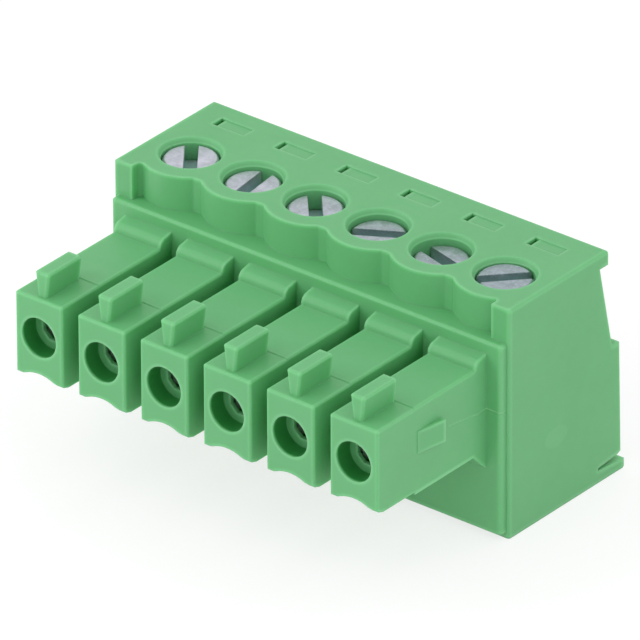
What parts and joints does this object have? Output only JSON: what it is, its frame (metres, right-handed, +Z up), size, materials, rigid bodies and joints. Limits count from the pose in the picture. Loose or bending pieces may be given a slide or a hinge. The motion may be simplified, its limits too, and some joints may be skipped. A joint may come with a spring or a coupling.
{
  "type": "pluggable terminal block",
  "caption": "Pluggable screw terminal with slotted clamp screws in scalloped wells and plug fingers with coding tabs and round pin entries.",
  "frame": {"origin": "centre of the overall outline in plan, at the level of the underside", "axes": "+X along the row of poles, -Y towards the plug fingers, +Y towards the wire side, +Z up towards the screw heads"},
  "size_m": [0.022, 0.016, 0.0113],
  "materials": {
    "moulding": "fine matte moulding",
    "screw_steel": "zinc plated, satin",
    "cage_metal": "nickel plated, satin",
    "contact_metal": "tin plated, dull"
  },
  "bodies": {
    "housing": {"housing": "moulding", "contact_1": "contact_metal", "contact_2": "contact_metal", "contact_3": "contact_metal", "contact_4": "contact_metal", "contact_5": "contact_metal", "contact_6": "contact_metal"},
    "screw_1": {"clamp_screw_1": "screw_steel"},
    "cage_1": {"clamp_cage_1": "cage_metal"},
    "screw_2": {"clamp_screw_2": "screw_steel"},
    "cage_2": {"clamp_cage_2": "cage_metal"},
    "screw_3": {"clamp_screw_3": "screw_steel"},
    "cage_3": {"clamp_cage_3": "cage_metal"},
    "screw_4": {"clamp_screw_4": "screw_steel"},
    "cage_4": {"clamp_cage_4": "cage_metal"},
    "screw_5": {"clamp_screw_5": "screw_steel"},
    "cage_5": {"clamp_cage_5": "cage_metal"},
    "screw_6": {"clamp_screw_6": "screw_steel"},
    "cage_6": {"clamp_cage_6": "cage_metal"}
  },
  "joints": [
    {"name": "screw_1_turn", "type": "hinge", "parent": "housing", "child": "screw_1", "pos_m": [-0.00875, 0.00247, 0.009], "axis": [0, 0, -1], "range_deg": [0, 1800]},
    {"name": "cage_1_rise", "type": "slide", "parent": "housing", "child": "cage_1", "axis": [0, 0, 1], "range_m": [0, 0.002]},
    {"name": "screw_2_turn", "type": "hinge", "parent": "housing", "child": "screw_2", "pos_m": [-0.00525, 0.00247, 0.009], "axis": [0, 0, -1], "range_deg": [0, 1800]},
    {"name": "cage_2_rise", "type": "slide", "parent": "housing", "child": "cage_2", "axis": [0, 0, 1], "range_m": [0, 0.002]},
    {"name": "screw_3_turn", "type": "hinge", "parent": "housing", "child": "screw_3", "pos_m": [-0.00175, 0.00247, 0.009], "axis": [0, 0, -1], "range_deg": [0, 1800]},
    {"name": "cage_3_rise", "type": "slide", "parent": "housing", "child": "cage_3", "axis": [0, 0, 1], "range_m": [0, 0.002]},
    {"name": "screw_4_turn", "type": "hinge", "parent": "housing", "child": "screw_4", "pos_m": [0.00175, 0.00247, 0.009], "axis": [0, 0, -1], "range_deg": [0, 1800]},
    {"name": "cage_4_rise", "type": "slide", "parent": "housing", "child": "cage_4", "axis": [0, 0, 1], "range_m": [0, 0.002]},
    {"name": "screw_5_turn", "type": "hinge", "parent": "housing", "child": "screw_5", "pos_m": [0.00525, 0.00247, 0.009], "axis": [0, 0, -1], "range_deg": [0, 1800]},
    {"name": "cage_5_rise", "type": "slide", "parent": "housing", "child": "cage_5", "axis": [0, 0, 1], "range_m": [0, 0.002]},
    {"name": "screw_6_turn", "type": "hinge", "parent": "housing", "child": "screw_6", "pos_m": [0.00875, 0.00247, 0.009], "axis": [0, 0, -1], "range_deg": [0, 1800]},
    {"name": "cage_6_rise", "type": "slide", "parent": "housing", "child": "cage_6", "axis": [0, 0, 1], "range_m": [0, 0.002]}
  ],
  "couplings": [
    {"joint": "screw_1_turn", "follows": "cage_1_rise", "rad_per_m": 15708},
    {"joint": "screw_2_turn", "follows": "cage_2_rise", "rad_per_m": 15708},
    {"joint": "screw_3_turn", "follows": "cage_3_rise", "rad_per_m": 15708},
    {"joint": "screw_4_turn", "follows": "cage_4_rise", "rad_per_m": 15708},
    {"joint": "screw_5_turn", "follows": "cage_5_rise", "rad_per_m": 15708},
    {"joint": "screw_6_turn", "follows": "cage_6_rise", "rad_per_m": 15708}
  ]
}
